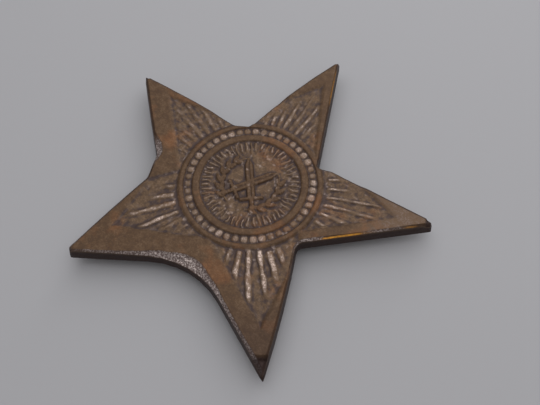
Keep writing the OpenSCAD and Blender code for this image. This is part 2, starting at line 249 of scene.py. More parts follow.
# Corner radius of a point's end
TIP_ROUND = 0.04
# Straight pieces in the arc that rounds a corner, and how much of a side one arc may take
ARC_STEPS = 6
ARC_SHARE = 0.48
# How far a corner of the foot may stand out, as a share of the draft
MITRE_LIMIT = 2.6


def polar(reach, bearing):
    """The point at a reach and a bearing in degrees."""
    angle = math.radians(bearing)
    return np.array((reach * math.cos(angle), reach * math.sin(angle)))


def unit(v):
    """A vector of length 1 along v."""
    return v / np.linalg.norm(v)


def ends(reach, bearing, width, tilt, radius):
    """A corner with its radius, or the two corners of a blunt end of that width."""
    if width == 0:
        return [(polar(reach, bearing), radius)]
    return [(polar(reach, bearing) + polar(s * width, bearing + 90 + tilt), radius) for s in (-0.5, 0.5)]


def bowed(p, q, bow):
    """Points between p and q, which bow to the right of the way from p to q."""
    way = unit(q - p)
    right = np.array((way[1], -way[0]))
    return [(p + u * (q - p) + 4 * bow * u * (1 - u) * right, 0) for u in (0.25, 0.5, 0.75)]


def rounding(before, corner, after, radius):
    """The arc that rounds a corner, limited by its shorter side, and how far back it cuts."""
    u, v = unit(before - corner), unit(after - corner)
    half = math.acos(max(-1, min(1, float(u @ v)))) / 2
    shorter = min(np.linalg.norm(before - corner), np.linalg.norm(after - corner))
    cut = min(radius / math.tan(half), ARC_SHARE * shorter)
    r = cut * math.tan(half)
    middle = corner + unit(u + v) * r / math.sin(half)
    p, q = corner + u * cut - middle, corner + v * cut - middle
    start = math.degrees(math.atan2(p[1], p[0]))
    turn = (math.degrees(math.atan2(q[1], q[0])) - start + 540) % 360 - 180
    return [middle + polar(r, start + turn * i / ARC_STEPS) for i in range(ARC_STEPS + 1)], cut


def outline(star):
    """The trimmed star's outline, anticlockwise from the top point."""
    tips, floors = [], []
    for i in range(ARMS):
        bearing = TOP_BEARING + ARM_STEP * i
        turn, reach, width = POINT_TRIM[i]
        tips.append(ends(star.point_reach + reach, bearing + turn, width, 0, TIP_ROUND))
        turn, reach, width, tilt, radius = NOTCH_TRIM[i]
        floors.append(ends(star.notch_reach + reach, bearing + ARM_STEP / 2 + turn, width, tilt, radius))
    corners = []
    for tip, floor, after, bows in zip(tips, floors, tips[1:] + tips[:1], SIDE_BOW):
        corners += tip + bowed(tip[-1][0], floor[0][0], bows[0])
        corners += floor + bowed(floor[-1][0], after[0][0], bows[1])
    turned = [k for k, (_, radius) in enumerate(corners) if radius > 0]
    stops = turned[1:] + [len(corners)]
    places = [corners[k][0] for k in turned]
    nexts = places[1:] + places[:1]
    arcs = [rounding(places[n - 1], places[n], nexts[n], corners[k][1]) for n, k in enumerate(turned)]
    loop = []
    for n, (arc, cut) in enumerate(arcs):
        next_cut = arcs[(n + 1) % len(arcs)][1]
        loop += arc
        for side_point, _ in corners[turned[n] + 1:stops[n]]:
            if (np.linalg.norm(side_point - places[n]) > cut
                    and np.linalg.norm(side_point - nexts[n]) > next_cut):
                loop.append(side_point)
    return np.array(loop)


def away(bearing, other):
    """The turn from one bearing to another, from -180 to 180."""
    return (bearing - other + 180) % 360 - 180


def rim_and_ring(loop, per_side):
    """Even steps along the rim between each tip and notch, and the matching bearings on a ring."""
    reach = np.hypot(loop[:, 0], loop[:, 1])
    bearing = np.degrees(np.arctan2(loop[:, 1], loop[:, 0]))
    marks = []
    for i in range(2 * ARMS):
        near = np.abs(away(bearing, TOP_BEARING + ARM_STEP / 2 * i)) < ARM_STEP / 3
        wanted = np.where(near, reach if i % 2 == 0 else -reach, -np.inf)
        marks.append(int(wanted.argmax()))
    loop = np.roll(loop, -marks[0], 0)
    marks = [(m - marks[0]) % len(loop) for m in marks] + [len(loop)]
    loop = np.vstack((loop, loop[:1]))
    rim, ring = [], []
    for a, b in zip(marks, marks[1:]):
        side = loop[a:b + 1]
        travel = np.concatenate(([0], np.cumsum(np.linalg.norm(np.diff(side, axis=0), axis=1))))
        steps = np.arange(per_side) / per_side
        rim.append(np.stack([np.interp(steps * travel[-1], travel, side[:, c]) for c in (0, 1)], 1))
        first, last = (math.degrees(math.atan2(side[k][1], side[k][0])) for k in (0, -1))
        ring.append(first + away(last, first) * steps)
    return np.concatenate(rim), np.concatenate(ring)


def rim_distance(points, rim):
    """How far each point is from the rim, and its place there in steps of the rim."""
    ahead = np.roll(rim, -1, 0) - rim
    squared = (ahead ** 2).sum(1)
    distance, place = np.empty(len(points)), np.empty(len(points))
    for part in np.array_split(np.arange(len(points)), len(points) // 1000 + 1):
        to = points[part][:, None] - rim
        t = np.clip((to * ahead).sum(2) / squared, 0, 1)
        gap = np.hypot(to[..., 0] - t * ahead[:, 0], to[..., 1] - t * ahead[:, 1])
        k = gap.argmin(1)
        rows = np.arange(len(part))
        distance[part] = gap[rows, k]
        place[part] = k + t[rows, k]
    return distance, place


# ---- Relief of the face ----

# Size of the table of random values behind the lumps
LUMP_TABLE = 128
# How far the die's round edges slope, on the raised side and on the sunk side
EDGE_RAISED = 0.15
EDGE_SUNK = 0.12
# Soft edge of what is raised in the emblem
SOFT_EDGE = 0.2
# A sword: taper of its tip, half length and half thickness of its guard, its grip as a share of the blade,
# pitch of the grip's turns, radius of its pommel and where its guard is as a share of its length
TIP_TAPER = 1.3
GUARD_HALF = (1.7, 0.34)
GRIP_SHARE = 0.62
GRIP_PITCH = 0.45
POMMEL = 0.5
GUARD_PLACE = -0.28
# The wreath: bearing of its lowest leaves, how far round its leaves reach, a leaf's half width, length and
# turn away from the stem
WREATH_FOOT = -62
WREATH_SWEEP = 102
LEAF_HALF = 0.4
LEAF_LENGTH = 1.75
LEAF_TURN = 24
# The rim: how far its arris is broken, and how much metal is left under the deepest wear
ARRIS_BREAK = 0.15
LEAST_METAL = 0.3
# Smoothing passes that find what stands proud of the surface round it
CREST_PASSES = 24
# How dark the worn ends are painted, how far the arris is painted with tarnish and painted shade, how far
# the wall's top ring and each ring below it are painted with tarnish and with painted shade that deepens
# towards the foot, and how tarnished the back is, up to 1
END_DARKENING = 0.9
ARRIS_TARNISH_AND_SHADE = 0.6
WALL_TARNISH_AND_SHADE = (0.35, 0.3)
BACK_TARNISH = 0.3
# How far in from the rim the yellow arris, worn metal with a painted highlight, starts to fade, and where it
# is gone
ARRIS_HIGHLIGHT_FADE = (0.1, 0.24)

def smooth(x, low, high):
    """0 below low, 1 above high and a smooth step between."""
    t = np.clip((x - low) / (high - low), 0, 1)
    return t * t * (3 - 2 * t)


def bump(x, middle, half):
    """A smooth rounded ridge, 1 at its middle and 0 beyond half a width."""
    return np.clip(1 - ((x - middle) / half) ** 2, 0, 1) ** 2


def lumps(x, y, cell, seed):
    """Smooth random lumps of about one cell in size, from -1 to 1."""
    table = np.random.default_rng(seed).uniform(-1, 1, (LUMP_TABLE, LUMP_TABLE))
    u, v = x / cell + 1000, y / cell + 1000
    i, j = np.floor(u).astype(int), np.floor(v).astype(int)
    fu, fv = smooth(u - i, 0, 1), smooth(v - j, 0, 1)
    i0, j0, i1, j1 = (k % LUMP_TABLE for k in (i, j, i + 1, j + 1))
    a, b, c, d = table[i0, j0], table[i1, j0], table[i0, j1], table[i1, j1]
    return (a * (1 - fu) + b * fu) * (1 - fv) + (c * (1 - fu) + d * fu) * fv


def panel_depth(x, y):
    """How far a point lies inside the outline of the sunk panels; below 0 outside."""
    corners = []
    for i, panel in enumerate(PANELS):
        middle = TOP_BEARING + ARM_STEP * i
        corners += [polar(reach, middle + turn) for turn, reach in zip(panel[::2], panel[1::2])]
    corners = np.array(corners)
    best = np.full(len(x), np.inf)
    crossings = np.zeros(len(x), int)
    for p, q in zip(corners, np.roll(corners, -1, 0)):
        e = q - p
        t = np.clip(((x - p[0]) * e[0] + (y - p[1]) * e[1]) / (e @ e), 0, 1)
        best = np.minimum(best, np.hypot(x - p[0] - t * e[0], y - p[1] - t * e[1]))
        above = (p[1] > y) != (q[1] > y)
        crossings += above & (x < p[0] + (y - p[1]) / (e[1] + 1e-12) * e[0])
    return np.where(crossings % 2 == 1, best, -best)


def ray_height(x, y, star):
    """Crests of the rays, from 0 to about 1.3."""
    reach = np.hypot(x, y)
    # The die was cut by hand, so the rays waver
    bearing = np.degrees(np.arctan2(y, x)) + 0.6 * lumps(x, y, 3.1, 5) + 0.25 * lumps(x, y, 1.3, 6)
    ragged = lumps(x, y, 1.2, 7)
    height = np.zeros(len(x))
    for i, rays in enumerate(RAYS):
        middle = TOP_BEARING + math.degrees(star.die_turn) + ARM_STEP * i
        for turn, start, end, width, share in rays:
            across = np.radians(away(bearing, middle + turn)) * reach
            along = smooth(reach, start - 0.25, start + 0.3) * (1 - smooth(reach, end - 1.6, end + 0.5))
            half = width / 2 * (1 + 0.3 * ragged)
            crest = smooth(1 - np.abs(across) / half, -0.1, 0.8)
            height = np.maximum(height, share * along * crest)
    return height * (1 + 0.3 * lumps(x, y, 0.55, 8))


def sword_height(x, y, lean, medallion):
    """Height of one sword, which lies through the middle and leans by an angle, from 0 to 1."""
    across = x * math.cos(lean) + y * math.sin(lean)
    along = -x * math.sin(lean) + y * math.cos(lean)
    half, tip = medallion.blade / 2, medallion.sword / 2
    guard = GUARD_PLACE * medallion.sword
    narrowing = half * np.clip((tip - along) / TIP_TAPER, 0, 1) ** 0.75
    blade = smooth(narrowing - np.abs(across), 0, 0.22) * smooth(along, guard - 0.1, guard + 0.1)
    # The groove down the middle of the blade
    blade *= 1 - 0.35 * bump(across, 0, 0.16)
    hilt = (smooth(GUARD_HALF[1] - np.abs(along - guard), 0, SOFT_EDGE)
            * smooth(GUARD_HALF[0] - np.abs(across), 0, SOFT_EDGE))
    end = -tip + 0.4
    grip = smooth(half * GRIP_SHARE - np.abs(across), 0, SOFT_EDGE) * (along > end) * (along < guard)
    grip *= 0.85 + 0.15 * np.cos(along * 2 * math.pi / GRIP_PITCH)
    pommel = smooth(POMMEL - np.hypot(along - end, across), 0, SOFT_EDGE)
    return np.maximum.reduce((blade, hilt, grip, pommel))


def wreath_height(x, y, medallion):
    """Height of the wreath's stem and leaves, from 0 to 1."""
    reach, bearing = np.hypot(x, y), np.degrees(np.arctan2(y, np.abs(x)))
    height = 0.6 * bump(reach, medallion.wreath, 0.2) * smooth(-np.abs(bearing + 8), -68, -62)
    for i in range(medallion.leaf_pairs):
        for side in (-1, 1):
            foot = WREATH_FOOT + i * WREATH_SWEEP / medallion.leaf_pairs
            way = foot + 90 - side * LEAF_TURN
            fx, fy = polar(medallion.wreath, foot)
            dx, dy = np.abs(x) - fx, y - fy
            ux, uy = polar(1, way)
            along, across = dx * ux + dy * uy, np.abs(dy * ux - dx * uy)
            t = np.clip((along + 0.1) / LEAF_LENGTH, 0, 1)
            half = LEAF_HALF * np.sin(math.pi * t ** 0.8)
            leaf = smooth(half - across, 0, 0.16) - 0.3 * bump(across, 0, 0.09)
            height = np.maximum(height, leaf * (t > 0) * (t < 1))
    return height


def face_height(x, y, star, medallion):
    """Height of the struck design over the flat face, how far each point is handled, and how far it is
    painted rubbed, as worn metal and as painted highlight.
    """
    reach = np.hypot(x, y)
    depth = panel_depth(x, y) + 0.07 * lumps(x, y, 1.7, 1)
    panel = smooth(depth, -0.25, 0.45)
    panel *= smooth(reach, medallion.channel_outer + 0.5, medallion.channel_outer + 1)
    inner, outer, field = medallion.channel_inner, medallion.channel_outer, medallion.field
    channel = (smooth(reach, inner - EDGE_RAISED, inner + EDGE_SUNK)
               * (1 - smooth(reach, outer - EDGE_SUNK, outer + EDGE_RAISED)))
    sunk = np.maximum.reduce((panel, channel, 1 - smooth(reach, field - EDGE_RAISED, field + EDGE_SUNK)))
    height = -star.sink * sunk
    height += 0.04 * bump(reach, (field + inner) / 2, 0.65)
    height += 0.03 * bump(reach, outer + 0.4, 0.4)
    rays = ray_height(x, y, star) * smooth(depth, 0.1, 0.6)
    height += star.ray_height * rays
    middle = reach < medallion.bar_start + 0.8
    emblem = np.maximum(sword_height(x[middle], y[middle], medallion.lean, medallion),
                        sword_height(x[middle], y[middle], -medallion.lean, medallion))
    emblem = np.maximum(emblem, 0.8 * wreath_height(x[middle], y[middle], medallion))
    height[middle] += medallion.emblem * emblem
    handled = 1 - sunk
    handled[middle] = np.maximum(handled[middle], smooth(emblem, 0.35, 0.6))
    # Broad lumps of the casting all over, and middling and fine ones that are worn down where it is raised
    height += star.grain * (1.4 * lumps(x, y, 4.3, 2) + (0.6 + 0.4 * sunk) * lumps(x, y, 0.7, 3)
                            + (0.5 + 0.5 * sunk) * lumps(x, y, 0.33, 4))
    # Random specks in the sunk ground are painted as rubbed metal, a painted highlight, most of all close to
    # the bead channel
    near_ring = 1 - smooth(reach, outer + 0.8, outer + 5)
    grains = smooth(lumps(x, y, 0.38, 9), 0.35, 0.85) * sunk * (0.2 + 0.25 * near_ring)
    return height, handled, np.maximum(smooth(rays, 0.4, 1.1), grains)


def skin(rings):
    """Faces over successive rings, each with as many points as the one before, or half or twice as many."""
    faces, start = [], 0
    for inner, outer in zip(rings, rings[1:]):
        n, m = len(inner), len(outer)
        a, b = start + np.arange(n), start + n + np.arange(m)
        a1, b1 = np.roll(a, -1), np.roll(b, -1)
        if n == m:
            faces += np.stack((a, b, b1, a1), 1).tolist()
        elif n == 1:
            faces += [(start, p, q) for p, q in zip(b, b1)]
        elif m == 1:
            faces += [(p, start + n, q) for p, q in zip(a, a1)]
        elif m == 2 * n:
            faces += np.concatenate([np.stack(t, 1) for t in ((a, b[::2], b[1::2]), (a, b[1::2], a1),
                                                              (a1, b[1::2], b1[1::2]))]).tolist()
        else:
            faces += np.concatenate([np.stack(t, 1) for t in ((b, a[1::2], a[::2]), (b, b1, a[1::2]),
                                                              (b1, a1[1::2], a[1::2]))]).tolist()
        start += n
    return faces


def rim_values(table, place, column):
    """One column of a table of places along the rim, read at each place."""
    rows = np.array(table)
    return np.interp(place, rows[:, 0], rows[:, column])


# Points along each side of each arm, and the reach up to which the face's rings are round
PER_SIDE = 64
RING_REACH = 9.05
# Steps from the last round ring to the rim, and how wide they are on the way
RIM_STEPS = 72
RIM_WIDTHS = ((0, 0.7, 0.93, 1), (1, 1, 0.35, 0.12))


def star_rings(star):
    """The rim, the rings of points over the face from the middle out, and the way out at each rim point."""
    rim, bearings = rim_and_ring(outline(star), PER_SIDE)
    ring = np.stack((np.cos(np.radians(bearings)), np.sin(np.radians(bearings))), 1)
    flat = [np.zeros((1, 2))]
    flat += [ring[::16] * reach for reach in (0.25, 0.45)]
    flat += [ring[::8] * reach for reach in (0.65, 0.85, 1.05)]
    flat += [ring[::4] * reach for reach in np.arange(1.15, 2.2, 0.11)]
    flat += [ring[::2] * reach for reach in np.arange(2.26, 4.45, 0.1)]
    flat += [ring * reach for reach in np.arange(4.5, 6.5, 0.14)]
    flat += [ring * reach for reach in np.arange(6.6, RING_REACH, 0.1)]
    weights = np.interp(np.linspace(0, 1, RIM_STEPS), *RIM_WIDTHS)
    for share in np.concatenate(([0], np.cumsum(weights) / weights.sum())):
        flat.append(ring * RING_REACH * (1 - share) + rim * share)
    ahead = np.roll(rim, -1, 0) - rim
    normal = np.stack((ahead[:, 1], -ahead[:, 0]), 1) / np.linalg.norm(ahead, axis=1)[:, None]
    before = np.roll(normal, 1, 0)
    mitre = (before + normal) / (1 + (before * normal).sum(1))[:, None]
    return rim, flat, mitre / np.maximum(1, np.linalg.norm(mitre, axis=1) / MITRE_LIMIT)[:, None]


# Shares of the way down the wall at which it has rings of points
WALL_RINGS = (0.04, 0.12, 0.25, 0.4, 0.55, 0.7, 0.85, 0.95)
# Rings across the back: which points of the rim they keep, and their shares of the way out to the foot
BACK_RINGS = ((2, (0.985, 0.95, 0.9, 0.84, 0.77, 0.7, 0.62, 0.54, 0.46)), (4, (0.38, 0.3, 0.22)),
              (8, (0.15,)), (16, (0.08,)))


def wall_and_back(star, rim, outwards, rim_height):
    """Rings down the wall, round its lower arris and in across the flat back."""
    place = np.arange(len(rim)) / PER_SIDE
    rings = []
    for share in WALL_RINGS:
        height = rim_height * (1 - share) + (-star.thickness + 0.06) * share
        marks = 0.03 * lumps(place * 9, height * 2, 1, 11) + 0.02 * lumps(place * 36, height * 4, 1, 12)
        out = star.draft * share + marks * math.sin(math.pi * share)
        rings.append(np.column_stack((rim + outwards * out[:, None], height)))
    foot = rim + outwards * star.draft
    for inset, lift in ((0.02, 0.025), (0.07, 0)):
        rings.append(np.column_stack((foot - outwards * inset, np.full(len(rim), lift - star.thickness))))
    for step, shares in BACK_RINGS:
        for share in shares:
            ring = foot[::step] * share
            dish = 0.03 * lumps(*ring.T, 5, 13) * smooth(1 - share, 0.02, 0.15)
            rings.append(np.column_stack((ring, dish - star.thickness)))
    rings.append(np.array([[0, 0, -star.thickness]]))
    return rings


def mesh_object(name, points, faces):
    """A smooth-shaded mesh object whose points are in millimetres in the row frame."""
    mesh = bpy.data.meshes.new(name)
    mesh.from_pydata((np.asarray(points) * MM).tolist(), [], faces)
    mesh.validate()
    mesh.shade_smooth()
    piece = bpy.data.objects.new(name, mesh)
    bpy.context.scene.collection.objects.link(piece)
    return piece


# The kinds of node that are used most
MATH = "ShaderNodeMath"
RANGE = "ShaderNodeMapRange"
NOISE = "ShaderNodeTexNoise"
MIX = "ShaderNodeMix"
BUMP = "ShaderNodeBump"


def add_node(tree, kind, inputs=(), **settings):
    """Adds a node with its settings, and fills its inputs, in order or by name.

    An input is filled from a value, a socket or the first output of a node.
    """
    node = tree.nodes.new(kind)
    for name, value in settings.items():
        setattr(node, name, value)
    in_use = [socket for socket in node.inputs if socket.enabled]
    for key, value in inputs.items() if isinstance(inputs, dict) else enumerate(inputs):
        socket = node.inputs[key] if isinstance(key, str) else in_use[key]
        if isinstance(value, bpy.types.Node):
            value = next(output for output in value.outputs if output.enabled)
        if isinstance(value, bpy.types.NodeSocket):
            tree.links.new(value, socket)
        else:
            socket.default_value = value
    return node


def texture_scale(millimetres):
    """Scale of a noise whose lumps are about that size."""
    return 1 / (millimetres * MM)


# ---- Geometry Nodes: what radiates round the medallion ----

# What the tree takes from the medallion's own sizes
COUNTS = ("Bead Count", "Bar Count")
LENGTHS = ("Bead Radius", "Bead Height", "Bar Start", "Bar End", "Bar Width", "Bar Height")
# A bead's share of the full radius and height, as a part that changes by chance and a part that stays
BEAD_SWELL = (0.22, 0.85)
BEAD_RISE = (0.5, 0.62)
# The same for a bar's height, and how far bars start apart and slope at their ends, in millimetres
BAR_RISE = (0.5, 0.7)
BAR_STAGGER = 0.9
BAR_SLOPE = 0.4
# How square a bead is across, where 2 is round, and how full its top is, where 0.5 is round
BEAD_SQUARENESS = 2.8
BEAD_FULLNESS = 0.6


def radiating_tree():
    """Raises a ring of beads and a ring of short bars on a face, by the turn and reach of each point."""
    tree = bpy.data.node_groups.new("radiating_relief", "GeometryNodeTree")
    sockets = {"Geometry": "Geometry", "Metal": "Material", "Middle": "Vector"}
    sockets.update(dict.fromkeys((*COUNTS, *LENGTHS, "Bead Ring", "Lowest"), "Float"))
    for name, kind in sockets.items():
        tree.interface.new_socket(name, in_out="INPUT", socket_type="NodeSocket" + kind)
    tree.interface.new_socket("Geometry", in_out="OUTPUT", socket_type="NodeSocketGeometry")
    node = partial(add_node, tree)
    given = node("NodeGroupInput").outputs
    from_middle = node("ShaderNodeVectorMath", (node("GeometryNodeInputPosition"), given["Middle"]),
                       operation="SUBTRACT")
    x, y, z = node("ShaderNodeSeparateXYZ", (from_middle,)).outputs
    level = node("ShaderNodeVectorMath", (from_middle, (1, 1, 0)), operation="MULTIPLY")
    reach = node("ShaderNodeVectorMath", (level,), operation="LENGTH")
    turn = node(MATH, (y, x), operation="ARCTAN2")
    waves = node(NOISE, {"Scale": texture_scale(1.6), "Detail": 1.0})
    drift = node(MATH, (waves, 0.5), operation="SUBTRACT")

    def nearest(count, seed, wander):
        """Distance across to the nearest of count wandering spokes, and a random share for that spoke."""
        bent = node(MATH, (drift, wander, turn), operation="MULTIPLY_ADD")
        per_radian = node(MATH, (count, 2 * math.pi), operation="DIVIDE")
        spoke = node(MATH, (bent, per_radian), operation="MULTIPLY")
        number = node(MATH, (spoke,), operation="ROUND")
        pitch = node(MATH, (reach, per_radian), operation="DIVIDE")
        across = node(MATH, (node(MATH, (spoke, number), operation="SUBTRACT"), pitch), operation="MULTIPLY")
        return across, node("FunctionNodeRandomValue", (0.0, 1.0, number, seed))

    across, chance = nearest(given["Bead Count"], 3, 0.03)
    swell = node(MATH, (chance, *BEAD_SWELL), operation="MULTIPLY_ADD")
    radius = node(MATH, (given["Bead Radius"], swell), operation="MULTIPLY")
    left = 1.0
    for way in (across, node(MATH, (reach, given["Bead Ring"]), operation="SUBTRACT")):
        share = node(MATH, (node(MATH, (way,), operation="ABSOLUTE"), radius), operation="DIVIDE")
        used = node(MATH, (share, BEAD_SQUARENESS), operation="POWER")
        left = node(MATH, (left, used), operation="SUBTRACT")
    dome = node(MATH, (node(MATH, (left, 0.0), operation="MAXIMUM"), BEAD_FULLNESS), operation="POWER")
    bead = node(MATH, (dome, given["Bead Height"]), operation="MULTIPLY")
    share = node(MATH, (chance, *BEAD_RISE), operation="MULTIPLY_ADD")
    bead = node(MATH, (bead, share), operation="MULTIPLY")

    across, chance = nearest(given["Bar Count"], 8, 0.16)
    share = node(MATH, (node(MATH, (across,), operation="ABSOLUTE"), given["Bar Width"]), operation="DIVIDE")
    side = node(RANGE, (share, 0.5, 0.0, 0.0, 1.0))
    start = node(MATH, (chance, BAR_STAGGER * MM, given["Bar Start"]), operation="MULTIPLY_ADD")
    full = node(MATH, (start, BAR_SLOPE * MM), operation="ADD")
    last = node(MATH, (given["Bar End"], BAR_SLOPE * MM), operation="SUBTRACT")
    rise = node(RANGE, (reach, start, full, 0.0, 1.0), interpolation_type="SMOOTHSTEP")
    fall = node(RANGE, (reach, last, given["Bar End"], 1.0, 0.0), interpolation_type="SMOOTHSTEP")
    bar = node(MATH, (node(MATH, (side, 0.8), operation="POWER"), given["Bar Height"]), operation="MULTIPLY")
    for share in (rise, fall, node(MATH, (chance, *BAR_RISE), operation="MULTIPLY_ADD")):
        bar = node(MATH, (bar, share), operation="MULTIPLY")

    raised = node("ShaderNodeCombineXYZ", (0.0, 0.0, node(MATH, (bead, bar), operation="ADD")))
    on_face = node(MATH, (z, given["Lowest"]), operation="GREATER_THAN")
    moved = node("GeometryNodeSetPosition", {"Geometry": given["Geometry"], "Selection": on_face,
                                             "Offset": raised})
    whole = node("GeometryNodeRealizeInstances", (moved,))
    coated = node("GeometryNodeSetMaterial", {"Geometry": whole, "Material": given["Metal"]})
    node("NodeGroupOutput", (coated,))
    return tree


def run_tree(piece, tree, values):
    """Runs a Geometry Nodes tree on a piece and keeps the result as its plain mesh."""
    modifier = piece.modifiers.new(tree.name, "NODES")
    modifier.node_group = tree
    for item in tree.interface.items_tree:
        if item.in_out == "INPUT" and item.name in values:
            modifier[item.identifier] = values[item.name]
    bpy.context.view_layer.update()
    graph = bpy.context.evaluated_depsgraph_get()
    made = bpy.data.meshes.new_from_object(piece.evaluated_get(graph))
    piece.modifiers.clear()
    old, piece.data = piece.data, made
    bpy.data.meshes.remove(old)
    made.name = piece.name


def coordinates(mesh):
    """Where each point of a mesh is, in metres."""
    co = np.empty(len(mesh.vertices) * 3, np.float32)
    mesh.vertices.foreach_get("co", co)
    return co.reshape(-1, 3).astype(float)


def write_attribute(mesh, name, values):
    """Stores one number for each point, which the metal's material reads."""
    mesh.attributes.new(name, "FLOAT", "POINT").data.foreach_set("value", np.asarray(values, np.float32))


def crests(mesh, points, passes):
    """Height of each point over the smoothed surface round it, in millimetres."""
    edges = np.empty(len(mesh.edges) * 2, np.int32)
    mesh.edges.foreach_get("vertices", edges)
    a, b = edges.reshape(-1, 2).T
    count = np.bincount(a, minlength=len(points)) + np.bincount(b, minlength=len(points))
    height = points[:, 2] / MM
    level = height.copy()
    for _ in range(passes):
        total = (np.bincount(a, level[b], minlength=len(points))
                 + np.bincount(b, level[a], minlength=len(points)))
        level = 0.5 * level + 0.5 * total / count
    return height - level


# ---- Materials ----

def new_material(name):
    """An empty material, what adds a node to it and its object coordinates."""
    material = bpy.data.materials.new(name)
    material.use_nodes = True
    material.node_tree.nodes.clear()
    node = partial(add_node, material.node_tree)
    return material, node, node("ShaderNodeTexCoord").outputs["Object"]


def patinated_bronze(finish):
    """Cast bronze with an old brown patina: rubbed on its crests, dirty in its hollows, filed at its rim,
    with painted highlights on its crests, bevel and arris and painted shade on its wall and arris.

    The patina makes it half dull and warm brown, and only worn metal shines. Casting grit is some 0.1 mm
    across, and is drawn at twice that, so that it shows.
    """
    material, node, at = new_material("patinated_cast_bronze")
    blotch, mottle, grit = (
        node(NOISE, {"Vector": at, "Scale": texture_scale(size), "Detail": detail, "Roughness": rough})
        for size, detail, rough in ((5, 4.0, 0.6), (0.8, 5.0, 0.7), (0.22, 2.0, 0.6)))
    handled, rubbed, raw, bright, side, crest = (
        node("ShaderNodeAttribute", attribute_name=name).outputs["Fac"]
        for name in ("handled", "rubbed", "raw", "bright", "side", "crest"))
    # Raised bronze is browned and smoothed by hands, and the sunk ground keeps its dull gritty skin
    uneven = node(RANGE, (mottle, 0.3, 0.7, -0.35, 0.2))
    browned = node(MATH, (handled, uneven), operation="ADD", use_clamp=True)
    reddened = node(RANGE, (blotch, 0.54, 0.7, 0.0, 0.6))
    fine = node(RANGE, (grit, 0.35, 0.65, -0.35, 0.35))
    grain = node(MATH, (fine, node(RANGE, (mottle, 0.35, 0.65, -0.3, 0.3))), operation="ADD")
    smoothed = node(RANGE, (handled, 0.0, 1.0, 1.0, 0.55))
    grain = node(MATH, (grain, smoothed), operation="MULTIPLY")
    darkened, lightened = (node(MATH, (grain, share), operation="MULTIPLY") for share in (0.8, -0.5))
    # Dirt lies at the foot of what is raised
    hollow = node(RANGE, (crest, -0.005, -0.05, 0.0, 1.0))
    patchy = node(RANGE, (mottle, 0.45, 0.7, -0.1, 0.35))
    dirt = node(MATH, (hollow, patchy), operation="ADD", use_clamp=True)
    wiped = node(RANGE, (handled, 0.0, 1.0, 0.9, 0.4))
    dirt = node(MATH, (dirt, wiped), operation="MULTIPLY")
    # Only the crests that stand proud are rubbed, and casting grit breaks the rubbed metal into specks; its
    # pink-white is partly worn metal and partly painted highlight
    worn = rubbed
    for share in ((mottle, 0.38, 0.6, 0.1, 1.0), (grit, 0.4, 0.6, 0.35, 1.0)):
        worn = node(MATH, (worn, node(RANGE, share)), operation="MULTIPLY")
    # Painted highlights: specks in the filed bevel and the yellow arris; the wall's mask carries its tarnish
    # and painted shade
    glints, tarnish, fresh = (
        node(MATH, (where, node(RANGE, share)), operation="MULTIPLY")
        for where, share in ((raw, (grit, 0.44, 0.66, 0.0, 1.0)), (side, (mottle, 0.3, 0.7, 1.0, 0.8)),
                             (bright, (mottle, 0.4, 0.55, 0.35, 1.0))))
    skin_colour = finish.patina
    for share, hue in ((browned, finish.handled), (reddened, finish.rust_red), (darkened, finish.hollow),
                       (lightened, finish.dust), (dirt, finish.hollow), (worn, finish.rubbed),
                       (raw, finish.raw), (glints, finish.painted_glint), (tarnish, finish.edge),
                       (fresh, finish.bare)):
        skin_colour = node(MIX, (share, skin_colour, hue), data_type="RGBA")
    bareness = node(MATH, (worn, glints), operation="MAXIMUM")
    polish = node(MATH, (bareness, fresh), operation="MAXIMUM")
    dullness = node(RANGE, (polish, 0.0, 0.8, 0.5, 0.3))
    roughness = node(MATH, (dullness, node(RANGE, (mottle, 0.3, 0.7, -0.06, 0.1))), operation="ADD")
    pits = node(BUMP, {"Height": grit, "Distance": 0.03 * MM, "Strength": 0.9})
    pits = node(BUMP, {"Height": mottle, "Distance": 0.05 * MM, "Strength": 0.6, "Normal": pits})
    shader = node("ShaderNodeBsdfPrincipled", {
        "Base Color": skin_colour, "Roughness": roughness, "Normal": pits,
        "Metallic": node(RANGE, (bareness, 0.0, 1.0, 0.45, 0.95))})
    node("ShaderNodeOutputMaterial", (shader,))
    return material


def worked_metal(name, clean, stain, roughness, grain, stretch=(1, 1, 1), stained=0.6):
    """A drawn, rolled or turned metal whose working left fine lines along it, with stain in patches.

    Such lines are some 0.02 mm apart, and are drawn several times as coarse, so that they show.
    """
    material, node, at = new_material(name)
    lined = node("ShaderNodeMapping", {"Vector": at, "Scale": stretch})
    lines = node(NOISE, {"Vector": lined, "Scale": texture_scale(grain), "Detail": 2.0})
    patches = node(NOISE, {"Vector": at, "Scale": texture_scale(0.9), "Detail": 4.0, "Roughness": 0.65})
    patchy = node(RANGE, (patches, 0.42, 0.68, 0.0, stained))
    shares = node(MATH, (patchy, node(RANGE, (lines, 0.3, 0.7, 0.0, 0.15))), operation="ADD")
    marks = node(BUMP, {"Height": lines, "Distance": 0.01 * MM, "Strength": 0.5})
    shader = node("ShaderNodeBsdfPrincipled", {
        "Base Color": node(MIX, (shares, clean, stain), data_type="RGBA"),
        "Metallic": node(RANGE, (shares, 0.0, 0.8, 0.95, 0.5)),
        "Roughness": node(RANGE, (shares, 0.0, 0.8, roughness, roughness + 0.25)), "Normal": marks})
    node("ShaderNodeOutputMaterial", (shader,))
    return material


def sheet_brass(finish):
    """The sheet brass of the bracket and the catch, which share it.

    Rolled sheet that has tarnished: a dull yellow, with rolling lines across its glints and brown patches.
    """
    name = "tarnished_sheet_brass"
    made = bpy.data.materials.get(name)
    return made or worked_metal(name, finish.brass, finish.brass_dark, 0.38, 0.12, (1, 6, 1))


# ---- Operators ----

